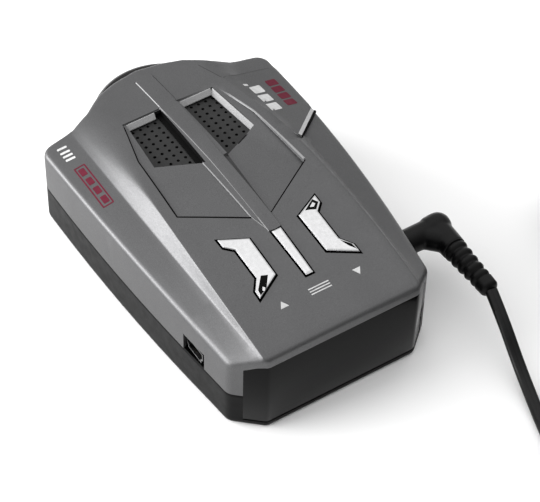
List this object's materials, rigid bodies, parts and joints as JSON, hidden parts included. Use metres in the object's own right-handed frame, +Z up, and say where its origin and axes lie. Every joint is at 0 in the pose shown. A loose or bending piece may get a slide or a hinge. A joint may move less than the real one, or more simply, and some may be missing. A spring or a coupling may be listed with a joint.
{
  "type": "radar detector",
  "caption": "Dashboard radar detector: split case with speaker grilles, chromed push buttons, dark front display window, rear aerial lens and a plugged-in coiled car power lead.",
  "frame": {"origin": "on the surface the unit rests on, under the middle of its case", "axes": "+Z up, the display window faces -Y, the aerial lens faces +Y, the power jack is on the +X side"},
  "size_m": [0.1347, 0.1845, 0.032],
  "materials": {
    "silver_paint": "metallic satin paint on moulded plastic",
    "black_case": "fine satin texture",
    "window_black": "dark tinted, polished",
    "lens_dark": "dark red tint, polished",
    "grille_grey": "satin with perforations",
    "chrome_plate": "plated, polished",
    "board_green": "solder mask",
    "chip_black": "moulded",
    "steel": "zinc plated",
    "brass": "plated",
    "cast_metal": "die cast",
    "ferrite": "dark ferrite",
    "cone_paper": "pressed paper",
    "switch_black": "moulded",
    "plug_black": "satin moulded",
    "cord_black": "smooth twin flex",
    "plug_rubber": "moulded ribs",
    "fuse_glass": "clear",
    "lamp_red": "translucent",
    "can_sleeve": "printed sleeve"
  },
  "bodies": {
    "case": {"bottom_shell": "black_case", "top_shell": "silver_paint", "display_window": "window_black", "antenna_lens": "lens_dark", "left_grille": "grille_grey", "right_grille": "grille_grey", "button_board": "board_green", "tact_switches": "switch_black", "button_board_screws": "steel", "main_board": "board_green", "board_screws": "steel", "controller_chip": "chip_black", "memory_chip": "chip_black", "power_inductor": "ferrite", "crystal": "steel", "capacitors": "can_sleeve", "horn_antenna": "cast_metal", "laser_sensor": "lens_dark", "speaker_frame": "steel", "speaker_cone": "cone_paper", "speaker_magnet": "ferrite", "display_board": "board_green", "led_display": "window_black", "display_header": "chip_black", "usb_socket_shell": "steel", "usb_socket_tongue": "chip_black", "usb_contacts": "brass", "dc_jack_housing": "switch_black", "dc_jack_pin": "brass", "case_screws": "steel"},
    "up_button": {"up_button": "chrome_plate", "up_plunger": "switch_black"},
    "menu_button": {"menu_button": "chrome_plate", "menu_plunger": "switch_black"},
    "down_button": {"down_button": "chrome_plate", "down_plunger": "switch_black"},
    "power_lead": {"dc_plug_body": "plug_black", "dc_plug_sleeve": "steel", "dc_plug_insulator": "switch_black", "dc_plug_contact": "brass", "dc_plug_relief": "plug_rubber", "lead_cord": "cord_black", "lead_coil": "cord_black", "lead_tail": "cord_black", "car_plug_relief": "plug_rubber", "car_plug_body": "plug_black", "car_plug_cap": "plug_black", "car_plug_spring": "steel", "car_plug_light": "lamp_red", "car_plug_side_contacts": "steel"},
    "car_plug_tip": {"car_plug_tip": "steel", "car_plug_fuse": "fuse_glass"}
  },
  "joints": [
    {"name": "up_button_press", "type": "slide", "parent": "case", "child": "up_button", "axis": [0, 0, -1], "range_m": [0, 0.0005], "stiffness_N_per_m": 800},
    {"name": "menu_button_press", "type": "slide", "parent": "case", "child": "menu_button", "axis": [0, 0, -1], "range_m": [0, 0.0005], "stiffness_N_per_m": 800},
    {"name": "down_button_press", "type": "slide", "parent": "case", "child": "down_button", "axis": [0, 0, -1], "range_m": [0, 0.0005], "stiffness_N_per_m": 800},
    {"name": "plug_pull", "type": "slide", "parent": "case", "child": "power_lead", "axis": [1, 0, 0], "range_m": [0, 0.01]},
    {"name": "tip_press", "type": "slide", "parent": "power_lead", "child": "car_plug_tip", "axis": [0, -1, 0], "range_m": [0, 0.002], "stiffness_N_per_m": 900}
  ]
}
